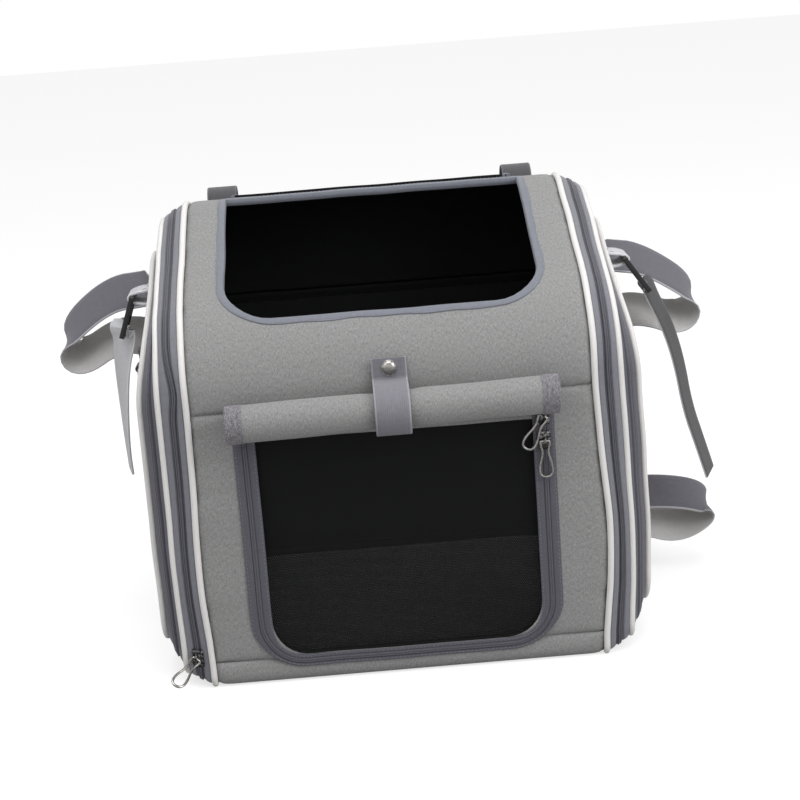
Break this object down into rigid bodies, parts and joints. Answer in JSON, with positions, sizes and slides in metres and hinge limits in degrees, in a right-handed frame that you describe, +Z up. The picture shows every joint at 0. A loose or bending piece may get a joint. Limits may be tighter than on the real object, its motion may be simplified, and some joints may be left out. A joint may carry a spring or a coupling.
{
  "type": "dog bicycle basket",
  "caption": "Soft-sided dog carrier that hangs on a handlebar, with a mesh front window, a rolled-up door, an open top and domed sides that zip.",
  "frame": {"origin": "middle of the flat bottom, on the surface it stands on", "axes": "+X to the right seen from the front, +Y back towards the handlebar, +Z up"},
  "size_m": [0.5289, 0.3212, 0.3463],
  "materials": {
    "body_cloth": "woven melange grey, matt",
    "band_cloth": "woven grey, a little darker, matt",
    "zip_tape": "grey zip tape with dark coils",
    "piping": "white woven piping",
    "grey_webbing": "ribbed grey webbing",
    "dark_webbing": "ribbed dark webbing",
    "black_mesh": "black mesh",
    "black_plastic": "satin black",
    "nickel": "nickel plate",
    "board": "black stiffener board",
    "fleece": "short fleece",
    "hoop_steel": "spring steel wire"
  },
  "bodies": {
    "basket": {"back_board": "board", "back_panel": "body_cloth", "base_board": "board", "bottom_panel": "body_cloth", "door_zip": "zip_tape", "front_mesh": "black_mesh", "front_panel": "body_cloth", "front_piping_left": "piping", "front_piping_right": "piping", "gusset_zip_left": "zip_tape", "gusset_zip_right": "zip_tape", "handlebar_loop_left": "grey_webbing", "handlebar_loop_right": "grey_webbing", "inner_gusset_left": "band_cloth", "inner_gusset_right": "band_cloth", "lower_strap_loop": "grey_webbing", "mat": "fleece", "middle_piping_left": "piping", "middle_piping_right": "piping", "outer_gusset_left": "band_cloth", "outer_gusset_right": "band_cloth", "outer_piping_left": "piping", "outer_piping_right": "piping", "ring_tab": "grey_webbing", "roll_strap": "grey_webbing", "rolled_door": "body_cloth", "shoulder_strap_left": "grey_webbing", "shoulder_strap_right": "grey_webbing", "side_hoops": "hoop_steel", "side_mesh_left": "black_mesh", "side_mesh_right": "black_mesh", "side_panel_left": "body_cloth", "side_panel_right": "body_cloth", "side_zip_left": "zip_tape", "side_zip_right": "zip_tape", "snap_stud": "nickel", "strap_tab_left": "grey_webbing", "strap_tab_right": "grey_webbing", "top_binding": "grey_webbing", "top_flap": "body_cloth", "top_panel": "body_cloth", "upper_slider": "nickel"},
    "roll_strap_end": {"roll_strap_end": "grey_webbing", "snap_cap": "nickel"},
    "door_slider": {"door_slider": "nickel"},
    "door_pull": {"door_pull": "nickel"},
    "upper_pull": {"upper_pull": "nickel"},
    "gusset_slider_left": {"gusset_slider_left": "nickel"},
    "gusset_pull_left": {"gusset_pull_left": "nickel"},
    "gusset_slider_right": {"gusset_slider_right": "nickel"},
    "gusset_pull_right": {"gusset_pull_right": "nickel"},
    "side_slider_left": {"side_slider_left": "nickel"},
    "side_pull_left": {"side_pull_left": "nickel"},
    "side_slider_right": {"side_slider_right": "nickel"},
    "side_pull_right": {"side_pull_right": "nickel"},
    "ladder_lock_left": {"ladder_lock_left": "black_plastic"},
    "strap_tail_left": {"strap_tail_left": "dark_webbing"},
    "ladder_lock_right": {"ladder_lock_right": "black_plastic"},
    "strap_tail_right": {"strap_tail_right": "dark_webbing"},
    "side_ring": {"side_ring": "nickel"}
  },
  "joints": [
    {"name": "roll_strap_fold", "type": "hinge", "parent": "basket", "child": "roll_strap_end", "pos_m": [0, -0.1604, 0.2135], "axis": [1, 0, 0], "range_deg": [0, 150]},
    {"name": "door_slider_slide", "type": "slide", "parent": "basket", "child": "door_slider", "axis": [0, 0, -1], "range_m": [0, 0.11]},
    {"name": "door_pull_swing", "type": "hinge", "parent": "door_slider", "child": "door_pull", "pos_m": [0.11, -0.1296, 0.1767], "axis": [-1, 0, 0], "range_deg": [0, 90]},
    {"name": "upper_pull_swing", "type": "hinge", "parent": "basket", "child": "upper_pull", "pos_m": [0.11, -0.1296, 0.1957], "axis": [-0.866, 0, 0.5], "range_deg": [0, 60]},
    {"name": "gusset_slider_left_slide", "type": "slide", "parent": "basket", "child": "gusset_slider_left", "axis": [0, 0, 1], "range_m": [0, 0.18]},
    {"name": "gusset_pull_left_swing", "type": "hinge", "parent": "gusset_slider_left", "child": "gusset_pull_left", "pos_m": [-0.16178, -0.12436, 0.0254], "axis": [-0.8093, 0.3083, 0.5], "range_deg": [-36, 20]},
    {"name": "gusset_slider_right_slide", "type": "slide", "parent": "basket", "child": "gusset_slider_right", "axis": [0, 0, 1], "range_m": [-0.035, 0.18]},
    {"name": "gusset_pull_right_swing", "type": "hinge", "parent": "gusset_slider_right", "child": "gusset_pull_right", "pos_m": [0.16178, 0.12436, 0.062], "axis": [0.9345, -0.356, 0], "range_deg": [0, 90]},
    {"name": "side_slider_left_slide", "type": "slide", "parent": "basket", "child": "side_slider_left", "axis": [0, 0, 1], "range_m": [-0.015, 0.16]},
    {"name": "side_pull_left_swing", "type": "hinge", "parent": "side_slider_left", "child": "side_pull_left", "pos_m": [-0.18143, 0.1096, 0.062], "axis": [0.6196, 0.7849, 0], "range_deg": [0, 90]},
    {"name": "side_slider_right_slide", "type": "slide", "parent": "basket", "child": "side_slider_right", "axis": [0, 0, 1], "range_m": [-0.015, 0.16]},
    {"name": "side_pull_right_swing", "type": "hinge", "parent": "side_slider_right", "child": "side_pull_right", "pos_m": [0.18143, 0.1096, 0.062], "axis": [0.6196, -0.7849, 0], "range_deg": [0, 90]},
    {"name": "ladder_lock_left_swing", "type": "hinge", "parent": "basket", "child": "ladder_lock_left", "pos_m": [-0.1951, 0.014, 0.28], "axis": [0, 1, 0], "range_deg": [-4, 60]},
    {"name": "strap_tail_left_swing", "type": "hinge", "parent": "ladder_lock_left", "child": "strap_tail_left", "pos_m": [-0.20536, 0.014, 0.25181], "axis": [0, 1, 0], "range_deg": [-5, 50]},
    {"name": "ladder_lock_right_swing", "type": "hinge", "parent": "basket", "child": "ladder_lock_right", "pos_m": [0.1951, 0.014, 0.28], "axis": [0, -1, 0], "range_deg": [-12, 50]},
    {"name": "strap_tail_right_swing", "type": "hinge", "parent": "ladder_lock_right", "child": "strap_tail_right", "pos_m": [0.21188, 0.014, 0.25513], "axis": [0, -1, 0], "range_deg": [-6, 50]},
    {"name": "side_ring_swing", "type": "hinge", "parent": "basket", "child": "side_ring", "pos_m": [-0.1909, -0.028, 0.232], "axis": [0, 1, 0], "range_deg": [0, 110]}
  ]
}
